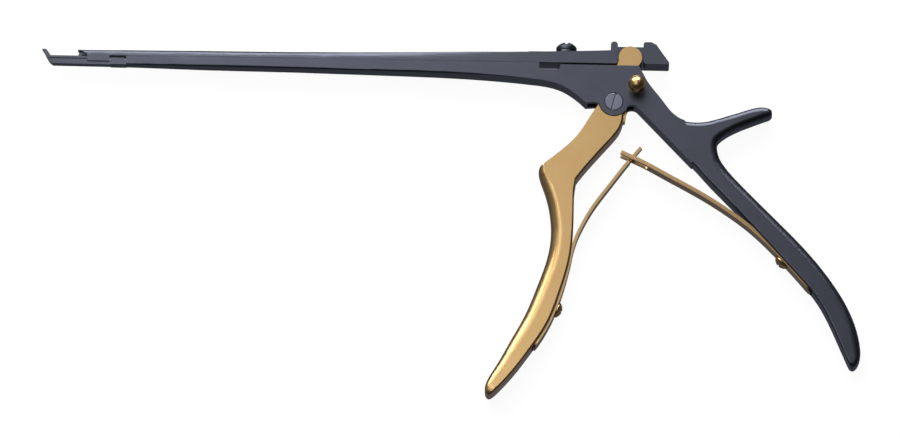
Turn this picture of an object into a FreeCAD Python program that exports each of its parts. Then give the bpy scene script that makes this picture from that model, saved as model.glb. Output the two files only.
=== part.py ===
import FreeCAD, Part

import math
import os
import re
from types import SimpleNamespace

import Sketcher
from FreeCAD import Placement, Rotation, Vector

os.makedirs("parts", exist_ok=True)

# Bone rongeur with a sliding upper jaw, lying on its side as on a tray.
# Origin: where the handle pivot's axis meets the resting plane.
# +X runs along the shaft toward the handles, +Y points to the slide's top, +Z points up.
# All lengths are millimetres and all angles are degrees.

# Each row is a driving size: its name, its value and what it measures.
SIZES = [
    ("plate_thick", 8.0, "thickness of both forgings, flat side to flat side"),
    ("tip_reach", 200.4, "pivot axis to the foremost edge of the foot plate"),
    ("rail_level", 13.9, "height of the sliding plane above the pivot axis"),
    ("slide_gap", 0.05, "running clearance of the slide on its rail"),
    ("bite_travel", 9.4, "travel of the slide from open to closed"),
    ("bite_gap", 0.05, "space left between nose and foot plate when closed"),
    ("foot_top", 16.2, "height of the foot plate's top edge"),
    ("foot_land", 1.4, "thickness of the foot plate along the shaft"),
    ("foot_angle", 54.5, "lean of the foot plate against the shaft"),
    ("foot_width", 2.2, "width of the foot plate"),
    ("nose_length", 3.3, "scooped nose in front of the skirt"),
    ("skirt_length", 7.8, "skirt that wraps the rail"),
    ("skirt_bottom", 11.95, "height of the skirt's lower edge"),
    ("taper_start", 28.0, "pivot axis to the start of the shaft's taper"),
    ("front_width", 4.4, "width of slide and shaft behind the tip"),
    ("head_width", 2.4, "width of the rail's head"),
    ("head_depth", 0.8, "depth of the rail's head"),
    ("neck_width", 1.4, "width of the rail's neck"),
    ("neck_depth", 0.45, "depth of the groove under the rail's head"),
    ("stem_width", 3.2, "width of the shaft under the rail"),
    ("lug_gap", 0.45, "gap between skirt and shaft lug"),
    ("lug_length", 5.0, "length of the shaft lug"),
    ("lug_slot", 0.45, "slot between the lug and the full shaft"),
    ("lug_slot_floor", 12.5, "height of the lug slot's floor"),
    ("lug_drop", 0.8, "how far the lug stays below the sliding plane"),
    ("cheek_level", 13.25, "height of the cheeks' top edge"),
    ("boss_round", 5.1, "radius of the boss round the pivot"),
    ("shoulder_gap", 0.35, "gap between that boss and the handle's shoulder"),
    ("slot_width", 4.0, "width of the slot between the cheeks"),
    ("tongue_gap", 0.06, "clearance of the tongue on each side of its slot"),
    ("slot_front", 9.2, "pivot axis to the slot's front wall"),
    ("drum_reach", 17.68, "pivot axis to the drum's centre"),
    ("drum_lean", 18.0, "lean of the drum behind the pivot when open"),
    ("drum_round", 4.1, "radius of the drum"),
    ("drum_gap", 0.3, "play between drum and slide lug"),
    ("drum_back_gap", 0.5, "play between drum and the slide's rear block"),
    ("lug_thick", 2.45, "thickness of the slide's front lug"),
    ("tail_top", 21.95, "height of the slide's lug and tail"),
    ("tail_wall", 1.9, "thickness of the wall left beside the drum"),
    ("tail_reach", 19.6, "pivot axis to the corner under the slide's slanted rear end"),
    ("tail_run", 5.7, "length that the slanted rear end takes up along the shaft"),
    ("tail_heel", 0.5, "rounding of the corner under the slanted rear end"),
    ("pivot_head", 3.25, "radius of the pivot screw's head"),
    ("pivot_head_deep", 1.15, "height of the pivot screw's head"),
    ("pivot_shank", 2.25, "radius of the pivot screw's shank"),
    ("pivot_thread", 1.75, "radius of the pivot screw's threaded end"),
    ("pivot_fit", 0.03, "radial running fit of the pivot"),
    ("screw_fit", 0.05, "radial clearance of fixed screws"),
    ("slot_cut", 1.0, "width of a screwdriver slot"),
    ("pivot_slot", 0.65, "width of the pivot screw's slot"),
    ("lock_x", 7.9, "lock pin's place behind the pivot"),
    ("lock_y", 5.0, "lock pin's place above the pivot"),
    ("lock_ball", 3.1, "radius of the lock's ball"),
    ("lock_rise", 5.0, "height of the ball's centre above the cheek"),
    ("lock_travel", 1.6, "press travel of the lock"),
    ("lock_neck", 1.0, "radius of the lock pin's neck"),
    ("lock_collar", 1.6, "radius of the lock pin's collar"),
    ("lock_collar_deep", 1.5, "height of the lock pin's collar"),
    ("lock_play", 0.1, "play of the lock pin's collar under the cheek"),
    ("lock_bore", 1.8, "radius of the bore for collar, spring and plug"),
    ("lock_plug_deep", 1.1, "height of the plug behind the lock's spring"),
    ("lock_wire", 0.35, "wire of the lock's spring"),
    ("guide_x", 16.9, "guide screw's place in front of the pivot"),
    ("guide_head", 3.6, "radius of the guide screw's head"),
    ("guide_collar", 3.35, "radius of the collar under that head"),
    ("guide_collar_deep", 1.0, "height of that collar"),
    ("guide_shank", 1.1, "radius of the guide screw's thread"),
    ("guide_neck", 3.3, "width of the guide block's neck"),
    ("guide_foot", 4.9, "width of the guide block's foot"),
    ("guide_length", 4.2, "length of the guide block"),
    ("guide_foot_deep", 0.9, "height of the guide block's foot"),
    ("window_front", 26.35, "front end of the rinse window"),
    ("window_rear", 19.05, "rear end of the rinse window"),
    ("window_floor", 11.4, "floor of the rinse window and guide slot"),
    ("window_round", 1.0, "rounding of the window's lower rear corner"),
    ("leaf_width", 5.6, "width of the leaf springs at their seats"),
    ("front_leaf_thick", 1.1, "thickness of the front leaf spring"),
    ("rear_leaf_thick", 1.3, "thickness of the rear leaf spring"),
    ("front_leaf_neck", 4.0, "width of the front leaf spring at its shoulders"),
    ("leaf_tip_round", 0.45, "rounding of the leaf springs' tips"),
    ("leaf_tongue", 2.4, "width of the tongue at the front leaf's tip"),
    ("fork_slot", 3.0, "width of the slot in the rear leaf's fork"),
    ("fork_length", 11.0, "length of the fork's slot"),
    ("seat_fit", 0.05, "clearance of the leaf springs in their seats"),
    ("dome_round", 2.7, "radius of the spring screws' domed heads"),
    ("dome_rise", 1.8, "height of the spring screws' domed heads"),
    ("dome_shank", 1.4, "radius of the spring screws' threads"),
    ("dome_shank_length", 4.6, "length of the spring screws' threads"),
    ("palm_round", 3.0, "rounding of the rear handle's palm side"),
    ("horn_round", 2.0, "rounding of the thumb horn"),
    ("grip_inset", 0.02, "how far the grips' flats are ground below the forging's"),
    ("finger_round", 3.0, "rounding of the front handle's finger side"),
    ("inner_round", 0.7, "rounding of the handles' inner edges"),
]

doc = FreeCAD.newDocument("bone_rongeur")
sheet = doc.addObject("Spreadsheet::Sheet", "sizes")
for row, (alias, value, meaning) in enumerate(SIZES, start=1):
    sheet.set("A%d" % row, alias)
    sheet.set("B%d" % row, str(value))
    sheet.set("C%d" % row, meaning)
    sheet.setAlias("B%d" % row, alias)
doc.recompute()
size = SimpleNamespace(**{row[0]: float(sheet.get(row[0])) for row in SIZES})


def bind(text):
    """Turn size names in an expression into references to the sheet."""
    return re.sub(r"[a-z]+(_[a-z]+)+", lambda word: "sizes." + word.group(0), text)


def mm(text):
    """Work out an expression of size names."""
    return float(sheet.evalExpression(bind(text)))


# Places that several pieces share, worked out from the driving sizes.
middle = size.plate_thick / 2
foot_lean = (size.foot_top - size.rail_level) / math.tan(math.radians(size.foot_angle))
foot_face = -(size.tip_reach - size.foot_land - foot_lean)
nose_front = foot_face + size.bite_travel + size.bite_gap
skirt_front = nose_front + size.nose_length
skirt_rear = skirt_front + size.skirt_length
lug_front = skirt_rear + size.lug_gap
lug_rear = lug_front + size.lug_length
shaft_front = lug_rear + size.lug_slot
slide_floor = size.rail_level + size.slide_gap
drum_x = size.drum_reach * math.sin(math.radians(size.drum_lean))
drum_y = size.drum_reach * math.cos(math.radians(size.drum_lean))
lug_face = drum_x - size.drum_round - size.drum_gap
block_face = drum_x + size.drum_round + size.drum_back_gap
tongue_low = middle - size.slot_width / 2 + size.tongue_gap
tongue_high = middle + size.slot_width / 2 - size.tongue_gap


def new_body(label):
    body = doc.addObject("PartDesign::Body", label)
    body.Label = label
    return body


def new_sketch(body, name, role="XY_Plane", offset=None):
    """Make a sketch on one of the body's own origin planes."""
    sketch = body.newObject("Sketcher::SketchObject", body.Name + "_" + name)
    planes = [item for item in body.Origin.OriginFeatures if item.Role == role]
    sketch.AttachmentSupport = [(planes[0], "")]
    sketch.MapMode = "FlatFace"
    if offset is not None:
        if isinstance(offset, str):
            sketch.setExpression("AttachmentOffset.Base.z", bind(offset))
        else:
            sketch.AttachmentOffset = Placement(Vector(0, 0, offset), Rotation())
    return sketch


def draw_outline(sketch, pieces):
    """Draw a closed outline: 2 points make a line, 3 an arc, more a smooth curve."""
    drawn = []
    for points in pieces:
        corners = [Vector(x, y, 0) for x, y in points]
        if len(corners) == 2:
            curve = Part.LineSegment(corners[0], corners[1])
        elif len(corners) == 3:
            curve = Part.Arc(corners[0], corners[1], corners[2])
        else:
            curve = Part.BSplineCurve()
            curve.interpolate(corners)
        drawn.append(sketch.addGeometry(curve))
    for first, second in zip(drawn, drawn[1:] + drawn[:1]):
        gaps = [((sketch.getPoint(first, a) - sketch.getPoint(second, b)).Length, a, b)
                for a in (1, 2) for b in (1, 2)]
        gap, a, b = min(gaps)
        sketch.addConstraint(Sketcher.Constraint("Coincident", first, a, second, b))


def draw_polygon(sketch, points):
    draw_outline(sketch, list(zip(points, points[1:] + points[:1])))


def drive(sketch, kind, places, expression):
    """Add a dimension to a sketch and bind it to the sheet."""
    number = sketch.addConstraint(Sketcher.Constraint(kind, *places, mm(expression)))
    sketch.setExpression("Constraints[%d]" % number, bind(expression))


def draw_circle(sketch, x, y, radius):
    circle = Part.Circle(Vector(mm(x), mm(y), 0), Vector(0, 0, 1), mm(radius))
    drawn = sketch.addGeometry(circle)
    drive(sketch, "DistanceX", (-1, 1, drawn, 3), x)
    drive(sketch, "DistanceY", (-1, 1, drawn, 3), y)
    drive(sketch, "Radius", (drawn,), radius)


def draw_box(sketch, left, low, right, high):
    """Draw an upright rectangle whose four sides are bound to the sheet."""
    corners = [(mm(left), mm(low)), (mm(right), mm(low)), (mm(right), mm(high)), (mm(left), mm(high))]
    draw_polygon(sketch, corners)
    first = sketch.GeometryCount - 4
    for side, kind in enumerate(("Horizontal", "Vertical", "Horizontal", "Vertical")):
        sketch.addConstraint(Sketcher.Constraint(kind, first + side))
    drive(sketch, "DistanceX", (-1, 1, first, 1), left)
    drive(sketch, "DistanceY", (-1, 1, first, 1), low)
    drive(sketch, "DistanceX", (-1, 1, first + 2, 1), right)
    drive(sketch, "DistanceY", (-1, 1, first + 2, 1), high)


def extrude(body, kind, sketch, length, backward=False):
    """Pad or pocket a sketch and check that it changed the body."""
    before = body.Tip.Shape.Volume if body.Tip else 0.0
    feature = body.newObject("PartDesign::" + kind, sketch.Name + "_" + kind.lower())
    feature.Profile = sketch
    feature.Reversed = backward
    feature.setExpression("Length", bind(length))
    sketch.Visibility = False
    doc.recompute()
    after = feature.Shape.Volume
    if abs(after - before) < 1e-3 or (kind == "Pocket") != (after < before):
        raise RuntimeError("%s took the volume from %.3f to %.3f" % (feature.Name, before, after))
    return feature


def pad(body, sketch, length, backward=False):
    return extrude(body, "Pad", sketch, length, backward)


def pocket(body, sketch, length, backward=False):
    return extrude(body, "Pocket", sketch, length, backward)


def round_edges(body, name, radius, chosen):
    """Round the edges whose middle point passes the test."""
    tip = body.Tip
    names = []
    for number, edge in enumerate(tip.Shape.Edges, start=1):
        centre = edge.valueAt((edge.FirstParameter + edge.LastParameter) / 2)
        if chosen(centre):
            names.append("Edge%d" % number)
    feature = body.newObject("PartDesign::Fillet", body.Name + "_" + name)
    feature.Base = (tip, names)
    feature.setExpression("Radius", bind(radius))
    doc.recompute()
    if not names or "Invalid" in feature.State or not feature.Shape.isValid():
        raise RuntimeError("%s failed on %s" % (feature.Name, names))
    return feature


def round_beside(body, name, radius, places):
    """Round the near and far edges whose middle points lie beside the given places."""
    spots = [Vector(x, y, 0) for x, y in places]

    def chosen(at):
        flat = Vector(at.x, at.y, 0)
        return abs(at.z - middle) > middle - 0.01 and min((flat - spot).Length for spot in spots) < 1.5

    round_edges(body, name, radius, chosen)


def curve_through(points):
    curve = Part.BSplineCurve()
    curve.interpolate([Vector(x, y, 0) for x, y in points])
    return curve


def beside(points, distance):
    """Points at a distance to the left of a smooth curve through the given points."""
    curve = curve_through(points)
    result = []
    for x, y in points:
        along = curve.tangent(curve.parameter(Vector(x, y, 0)))[0]
        result.append((x - along.y * distance, y + along.x * distance))
    return result


def strip(points, left, right):
    """Closed outline of a strip along a curve, from its left edge to its right edge."""
    one = beside(points, left)
    other = beside(points, right)
    return [one, [one[-1], other[-1]], other[::-1], [other[0], one[0]]]


# Shaft and slide taper together. Each station has its share of the way from the taper's start to
# the shaft's front, its width, shaft bottom and slide top, and its lower and upper rounding.
TAPER = [
    (0.0, 8.0, 7.7, 17.85, 0.1, 0.2),
    (0.12, 7.75, 8.95, 17.5, 0.5, 0.3),
    (0.23, 7.4, 9.5, 17.25, 0.8, 0.5),
    (0.38, 6.8, 9.85, 16.9, 0.8, 0.8),
    (0.525, 6.2, 10.1, 16.7, 0.8, 1.0),
    (0.67, 6.0, 10.3, 16.5, 0.8, 1.1),
    (0.82, 5.8, 10.45, 16.4, 0.8, 1.1),
    (0.91, 5.0, 10.6, 16.35, 0.7, 1.1),
]


def taper_place(share):
    return -size.taper_start + share * (shaft_front + size.taper_start)


def cut_rail(body):
    """Leave the rail's head and neck on a narrow stem, from the lug to the foot plate."""
    head = size.rail_level - size.head_depth
    groove = head - size.neck_depth
    for name, side in (("near_rail_side", 1), ("far_rail_side", -1)):
        stem_edge = middle + side * size.stem_width / 2
        neck_edge = middle + side * size.neck_width / 2
        head_edge = middle + side * size.head_width / 2
        outside = middle + side * (middle + 1)
        sketch = new_sketch(body, name, "YZ_Plane", lug_front)
        draw_polygon(sketch, [(5.0, stem_edge), (groove, stem_edge), (groove, neck_edge), (head, neck_edge),
                              (head, head_edge), (20.0, head_edge), (20.0, outside), (5.0, outside)])
        pocket(body, sketch, "tip_reach / 4")


def cut_foot(body):
    """Narrow the foot plate to its own width."""
    far = -size.tip_reach - 3
    for name, side in (("near_foot_side", 1), ("far_foot_side", -1)):
        sketch = new_sketch(body, name, offset="plate_thick / 2 + %d * foot_width / 2" % side)
        draw_polygon(sketch, [(far, 8.0), (foot_face + 1.2, 8.0), (foot_face + 0.2, size.rail_level),
                              (foot_face + 0.2, 20.0), (far, 20.0)])
        pocket(body, sketch, "plate_thick", backward=side > 0)


def cut_tongue_slot(body):
    """Mill the slot between the cheeks in which the front handle's tongue swings."""
    sketch = new_sketch(body, "tongue_slot", offset="plate_thick / 2 - slot_width / 2")
    draw_polygon(sketch, [(-size.slot_front, -9.0), (6.9, -9.0), (6.9, -1.3), (14.2, 5.4), (30.0, 20.0),
                          (-size.slot_front, 20.0)])
    pocket(body, sketch, "slot_width", backward=True)


def cut_guide_slot(body):
    """Cut the undercut slot of the guide block and the place where its foot lifts out."""
    rear = -size.slot_front + 1
    neck = size.guide_neck / 2 + size.slide_gap
    foot = size.guide_foot / 2 + size.slide_gap
    step = size.window_floor + size.guide_foot_deep + 4 * size.slide_gap
    sketch = new_sketch(body, "guide_slot", "YZ_Plane", rear)
    draw_polygon(sketch, [(size.window_floor, middle - foot), (step, middle - foot), (step, middle - neck),
                          (20.0, middle - neck), (20.0, middle + neck), (step, middle + neck),
                          (step, middle + foot), (size.window_floor, middle + foot)])
    pocket(body, sketch, "guide_x + guide_length / 2 + bite_travel + 0.5 - slot_front + 1")
    lift = new_sketch(body, "lift_out", offset="plate_thick / 2 - guide_foot / 2 - slide_gap")
    draw_box(lift, "-slot_front - guide_length + 1", "window_floor", "-slot_front + 1", "rail_level + 1")
    pocket(body, lift, "guide_foot + 2 * slide_gap", backward=True)


def cut_bore(body, name, place, radius, start, depth, upward):
    """Cut a round hole along Z from a start level, upward or downward."""
    sketch = new_sketch(body, name, offset=start)
    draw_circle(sketch, place[0], place[1], radius)
    pocket(body, sketch, depth, backward=upward)


def leaf_frame(leaf, near):
    """Nearest place on a leaf's middle line, with the directions along and to its left."""
    curve = curve_through(leaf)
    parameter = curve.parameter(Vector(near[0], near[1], 0))
    place = curve.value(parameter)
    along = curve.tangent(parameter)[0]
    return place, along, Vector(-along.y, along.x, 0)


def shortened(leaf):
    """The leaf's middle line, cut a little short of its seat's end."""
    (x, y), (next_x, next_y) = leaf[:2]
    share = 0.35 / math.hypot(next_x - x, next_y - y)
    return [(x + (next_x - x) * share, y + (next_y - y) * share)] + leaf[1:]


def cut_leaf_seat(body, leaf, seat_points, thick, side, near):
    """Mill a leaf spring's seat into a handle and drill its screw hole."""
    back = curve_through(beside(shortened(leaf), side * thick / 2))
    last = beside(leaf, side * thick / 2)[seat_points - 1]
    start, end = back.FirstParameter, back.parameter(Vector(last[0], last[1], 0))
    bed = [back.value(start) - back.tangent(start)[0] * 0.4]
    bed += [back.value(start + (end - start) * step / 24) for step in range(25)]
    bed = [(point.x, point.y) for point in bed]
    seat = beside(bed, side * size.seat_fit)
    open_side = beside(bed, -side * 8.0)
    sketch = new_sketch(body, "leaf_seat", offset="plate_thick / 2 - leaf_width / 2 - 2 * seat_fit")
    draw_outline(sketch, [seat, [seat[-1], open_side[-1]], open_side[::-1], [open_side[0], seat[0]]])
    pocket(body, sketch, "leaf_width + 4 * seat_fit", backward=True)
    place, along, left = leaf_frame(leaf, near)
    hole = body.newObject("PartDesign::SubtractiveCylinder", body.Name + "_screw_hole")
    hole.setExpression("Radius", bind("dome_shank + screw_fit"))
    hole.Height = size.dome_shank_length + 0.3
    hole.Placement = Placement(place + Vector(0, 0, middle), Rotation(Vector(0, 0, 1), left * side))
    doc.recompute()


REAR_LEAF = [(70.2, -67.6), (63.6, -60.0), (56.0, -51.8), (48.2, -44.5), (40.0, -38.4), (31.0, -32.7),
             (20.0, -26.65), (11.0, -21.75), (2.8, -18.0)]
FRONT_LEAF = [(-27.0, -90.2), (-23.6, -84.8), (-20.6, -78.8), (-18.0, -71.6), (-16.2, -65.3),
              (-14.7, -58.9), (-13.5, -53.0), (-11.4, -47.0), (-6.9, -38.4), (0.0, -28.6), (4.9, -21.9),
              (9.7, -15.8)]
REAR_SCREW = (59.9, -56.0)
FRONT_SCREW = (-19.2, -75.2)


def on_circle(radius, angle):
    """The point at an angle on a circle round the pivot."""
    return (radius * math.cos(math.radians(angle)), radius * math.sin(math.radians(angle)))


def round_corner(start, end, corner):
    """A quarter arc from start to end that rounds off a square corner."""
    centre = (start[0] + end[0] - corner[0], start[1] + end[1] - corner[1])
    pull = math.sqrt(0.5)
    halfway = (centre[0] + (corner[0] - centre[0]) * pull, centre[1] + (corner[1] - centre[1]) * pull)
    return [start, halfway, end]


def soft_corner(before, corner, after, radius):
    """An arc that touches both sides of a corner of any angle."""
    tip = Vector(corner[0], corner[1], 0)
    back = Vector(before[0], before[1], 0) - tip
    ahead = Vector(after[0], after[1], 0) - tip
    half = back.getAngle(ahead) / 2
    back.normalize()
    ahead.normalize()
    inward = back + ahead
    inward.normalize()
    reach = radius / math.tan(half)
    halfway = tip + inward * (radius / math.sin(half) - radius)
    return [(point.x, point.y) for point in (tip + back * reach, halfway, tip + ahead * reach)]


def add_loft(body, name, stations):
    """Loft through rounded sections, each given from its inner to its outer edge."""
    sections = []
    for number, (inner, outer, inner_round, outer_round, waist) in enumerate(stations):
        across = Vector(outer[0] - inner[0], outer[1] - inner[1], 0)
        width = across.Length
        across.normalize()
        low = max(size.grip_inset, waist)
        high = size.plate_thick - low
        sketch = new_sketch(body, "%s_%d" % (name, number))
        turn = Rotation(across, Vector(0, 0, 1), Vector(across.y, -across.x, 0), "XYZ")
        sketch.AttachmentOffset = Placement(Vector(inner[0], inner[1], 0), turn)
        near = min(inner_round, 0.45 * width)
        far = min(outer_round, 0.45 * width)
        draw_outline(sketch, [
            [(near, low), (width - far, low)],
            round_corner((width - far, low), (width, low + far), (width, low)),
            [(width, low + far), (width, high - far)],
            round_corner((width, high - far), (width - far, high), (width, high)),
            [(width - far, high), (near, high)],
            round_corner((near, high), (0, high - near), (0, high)),
            [(0, high - near), (0, low + near)],
            round_corner((0, low + near), (near, low), (0, low)),
        ])
        sketch.Visibility = False
        sections.append(sketch)
    loft = body.newObject("PartDesign::AdditiveLoft", body.Name + "_" + name)
    loft.Profile = sections[0]
    loft.Sections = sections[1:]
    doc.recompute()


def build_fixed_shaft():
    body = new_body("fixed_shaft")
    rail = size.rail_level
    lug_top = rail - size.lug_drop
    groove = rail - size.head_depth - size.neck_depth
    root = -size.taper_start - 2
    belly = [(root, 7.9), (-23.5, 7.15), (-18.3, 5.6), (-14.4, 3.3), (-9.9, -0.55)]
    foot_heel = (foot_face + 0.7, 10.85)
    foot_back = [(-size.tip_reach, size.foot_top), (-size.tip_reach + 0.9, 14.9),
                 (-size.tip_reach + 2.1, 12.6), foot_heel]
    boss = [on_circle(size.boss_round, angle) for angle in (-170.0, -88.0, -17.0)]
    rear_edge = [(24.9, -6.4), (22.2, -5.1), (19.8, -3.0), (17.2, 0.4), (14.2, 4.1), (11.4, 7.9)]
    window_corner = soft_corner((-size.window_rear, rail), (-size.window_rear, size.window_floor),
                                (-size.window_front, size.window_floor), size.window_round)
    sketch = new_sketch(body, "outline")
    draw_outline(sketch, [
        belly,
        [belly[-1], (-6.8, -0.3)],
        [(-6.8, -0.3), boss[0]],
        boss,
        [boss[2], (6.9, -1.15), (8.6, -2.2)],
        [(8.6, -2.2), (27.5, -21.9)],
        [(27.5, -21.9), (35.0, -16.0)],
        [(35.0, -16.0), (25.8, -11.5)],
        [(25.8, -11.5), rear_edge[0]],
        rear_edge,
        [rear_edge[-1], (8.55, size.cheek_level)],
        [(8.55, size.cheek_level), (-size.window_rear, size.cheek_level)],
        [(-size.window_rear, size.cheek_level), window_corner[0]],
        window_corner,
        [window_corner[2], (-size.window_front, size.window_floor)],
        [(-size.window_front, size.window_floor), (-size.window_front, rail)],
        [(-size.window_front, rail), (root, rail)],
        [(root, rail), belly[0]],
    ])
    pad(body, sketch, "plate_thick")
    shaft = []
    for share, width, bottom, top, lower, upper in TAPER:
        place = taper_place(share)
        shaft.append(((place, bottom), (place, rail), lower, 0.05, middle - width / 2))
    narrow = middle - size.front_width / 2
    shaft.append(((shaft_front, 10.75), (shaft_front, rail), 0.5, 0.05, narrow))
    add_loft(body, "shaft", shaft)
    front = new_sketch(body, "front_outline", offset="plate_thick / 2 - front_width / 2")
    draw_outline(front, [
        [foot_heel, (shaft_front, 10.75)],
        [(shaft_front, 10.75), (shaft_front, size.lug_slot_floor)],
        [(shaft_front, size.lug_slot_floor), (lug_rear, size.lug_slot_floor)],
        [(lug_rear, size.lug_slot_floor), (lug_rear, lug_top)],
        [(lug_rear, lug_top), (lug_front, lug_top)],
        [(lug_front, lug_top), (lug_front, groove)],
        [(lug_front, groove), (skirt_rear, groove)],
        [(skirt_rear, groove), (skirt_rear, rail)],
        [(skirt_rear, rail), (foot_face, rail)],
        [(foot_face, rail), (-size.tip_reach + size.foot_land, size.foot_top)],
        [(-size.tip_reach + size.foot_land, size.foot_top), foot_back[0]],
        foot_back,
    ])
    pad(body, front, "front_width")
    soft, crisp = size.horn_round, size.inner_round
    add_loft(body, "horn", [
        ((25.0, -17.0), (24.4, -6.1), soft, soft, 0.0),
        ((28.6, -17.0), (27.6, -6.6), soft, soft, 0.0),
        ((33.0, -16.5), (31.3, -6.5), soft, soft, 0.0),
        ((37.8, -12.2), (36.2, -5.3), soft, soft, 0.0),
        ((42.0, -9.4), (40.5, -3.9), soft, soft, 0.0),
        ((46.3, -7.4), (44.9, -2.4), soft, soft, 0.0),
        ((50.2, -5.8), (48.9, -1.1), soft, soft, 0.0),
        ((53.2, -4.6), (52.2, -0.7), soft, soft, 0.1),
        ((54.7, -3.9), (54.2, -1.1), soft, soft, 0.5),
        ((55.4, -3.1), (55.2, -1.7), soft, soft, 1.4),
    ])
    palm = size.palm_round
    add_loft(body, "grip", [
        ((26.5, -20.7), (36.3, -14.6), crisp, 0.6, 0.0),
        ((31.5, -25.9), (37.9, -20.6), crisp, palm, 0.0),
        ((39.0, -33.8), (44.5, -28.6), crisp, palm, 0.0),
        ((54.2, -49.9), (59.9, -44.1), crisp, palm, 0.0),
        ((63.0, -59.7), (69.1, -53.8), crisp, palm, 0.0),
        ((72.0, -70.4), (78.9, -66.6), crisp, palm, 0.0),
        ((78.0, -81.9), (85.3, -79.3), crisp, palm, 0.0),
        ((81.0, -88.7), (87.2, -87.4), crisp, palm, 0.0),
        ((82.7, -92.6), (87.0, -92.0), crisp, palm, 0.0),
        ((83.6, -94.3), (86.1, -93.9), crisp, palm, 0.3),
        ((84.3, -94.9), (85.3, -94.8), crisp, palm, 1.2),
    ])
    cut_rail(body)
    cut_foot(body)
    cut_tongue_slot(body)
    cut_guide_slot(body)
    pivot = ("0", "0")
    lock = ("lock_x", "lock_y")
    cut_bore(body, "head_bore", pivot, "pivot_head + screw_fit", "plate_thick", "pivot_head_deep", False)
    cut_bore(body, "pivot_bore", pivot, "pivot_shank + screw_fit", "plate_thick", "plate_thick / 2", False)
    cut_bore(body, "pivot_thread_bore", pivot, "pivot_thread + screw_fit", "0", "plate_thick / 2", True)
    cut_bore(body, "lock_neck_bore", lock, "lock_neck + screw_fit", "plate_thick", "plate_thick / 2", False)
    cut_bore(body, "lock_collar_bore", lock, "lock_bore + screw_fit", "0", "plate_thick / 2", True)
    cut_leaf_seat(body, REAR_LEAF, 4, size.rear_leaf_thick, -1, REAR_SCREW)
    return body


def build_front_handle():
    body = new_body("front_handle")
    shoulder = size.boss_round + size.shoulder_gap
    arc = [on_circle(shoulder, angle) for angle in (-52.0, -110.0, -168.0)]
    arm = [arc[2], (-8.6, -6.2), (-12.5, -12.4), (-17.4, -17.5), (-24.0, -23.0)]
    upper = [(-12.9, -28.9), (-8.4, -22.9), (-1.4, -14.6), (2.4, -9.3), arc[0]]
    sketch = new_sketch(body, "outline")
    draw_outline(sketch, [arm, [arm[-1], (-22.0, -27.0)], [(-22.0, -27.0), upper[0]], upper, arc])
    pad(body, sketch, "plate_thick")
    round_beside(body, "inner_edges", "inner_round", [(-3.6, -17.2)])
    finger, crisp = size.finger_round, size.inner_round
    add_loft(body, "grip", [
        ((-12.8, -28.9), (-24.6, -23.4), crisp, 0.6, 0.0),
        ((-13.3, -33.0), (-25.6, -27.4), crisp, finger, 0.0),
        ((-13.4, -37.0), (-23.8, -32.6), crisp, finger, 0.0),
        ((-13.4, -43.0), (-21.9, -39.8), crisp, finger, 0.0),
        ((-13.6, -49.0), (-21.2, -47.8), crisp, finger, 0.0),
        ((-14.5, -57.5), (-22.3, -56.7), crisp, finger, 0.0),
        ((-17.6, -69.5), (-25.6, -67.0), crisp, finger, 0.0),
        ((-21.6, -80.7), (-29.7, -77.7), crisp, finger, 0.0),
        ((-27.4, -90.4), (-34.8, -87.6), crisp, finger, 0.0),
        ((-34.0, -99.6), (-39.7, -96.8), crisp, finger, 0.0),
        ((-38.6, -104.9), (-42.8, -102.7), crisp, finger, 0.0),
        ((-40.6, -106.9), (-43.3, -105.4), crisp, finger, 0.3),
        ((-41.8, -107.7), (-42.8, -107.1), crisp, finger, 1.2),
    ])
    lean = math.radians(size.drum_lean)
    along = Vector(math.sin(lean), math.cos(lean), 0)
    across = Vector(along.y, -along.x, 0)
    root = 4.75
    top = along * size.drum_reach
    corners = [across * -root, across * root, top + across * (size.drum_round - 0.9),
               top - across * (size.drum_round - 0.9)]
    tongue_start = "plate_thick / 2 - slot_width / 2 + tongue_gap"
    tongue_deep = "slot_width - 2 * tongue_gap"
    tongue = new_sketch(body, "tongue", offset=tongue_start)
    draw_polygon(tongue, [(corner.x, corner.y) for corner in corners])
    pad(body, tongue, tongue_deep)
    root_sketch = new_sketch(body, "tongue_root", offset=tongue_start)
    draw_polygon(root_sketch, [(-4.6, 0.4), (-6.0, -6.0), (-2.0, -9.0), (4.0, -6.6), (4.7, -0.4)])
    pad(body, root_sketch, tongue_deep)
    hub = new_sketch(body, "hub", offset=tongue_start)
    draw_circle(hub, "0", "0", "boss_round - shoulder_gap")
    pad(body, hub, tongue_deep)
    drum = new_sketch(body, "drum", offset=tongue_start)
    draw_circle(drum, "drum_reach * sin(drum_lean)", "drum_reach * cos(drum_lean)", "drum_round")
    pad(body, drum, tongue_deep)
    cut_bore(body, "pivot_bore", ("0", "0"), "pivot_shank + pivot_fit", "plate_thick", "plate_thick", False)
    collar_room = "plate_thick / 2 + slot_width / 2 - lock_collar_deep - lock_play"
    cut_release_slot(body, "neck", size.lock_neck, "plate_thick")
    cut_release_slot(body, "collar", size.lock_collar, collar_room)
    cut_leaf_seat(body, FRONT_LEAF, 8, size.front_leaf_thick, 1, FRONT_SCREW)
    return body


def cut_release_slot(body, name, pin_radius, top):
    """Cut the curved slot that lets the handle pass the pressed lock pin."""
    reach = math.hypot(size.lock_x, size.lock_y)
    start = math.degrees(math.atan2(size.lock_y, size.lock_x))
    half = pin_radius + 0.15
    angles = (start - 6.0, start + 7.0, start + 20.0)
    outer = [on_circle(reach + half, angle) for angle in angles]
    inner = [on_circle(reach - half, angle) for angle in angles]
    sketch = new_sketch(body, "release_%s" % name, offset=top)
    draw_outline(sketch, [outer, [outer[2], inner[2]], inner[::-1], [inner[0], outer[0]]])
    pocket(body, sketch, "plate_thick")


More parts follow.
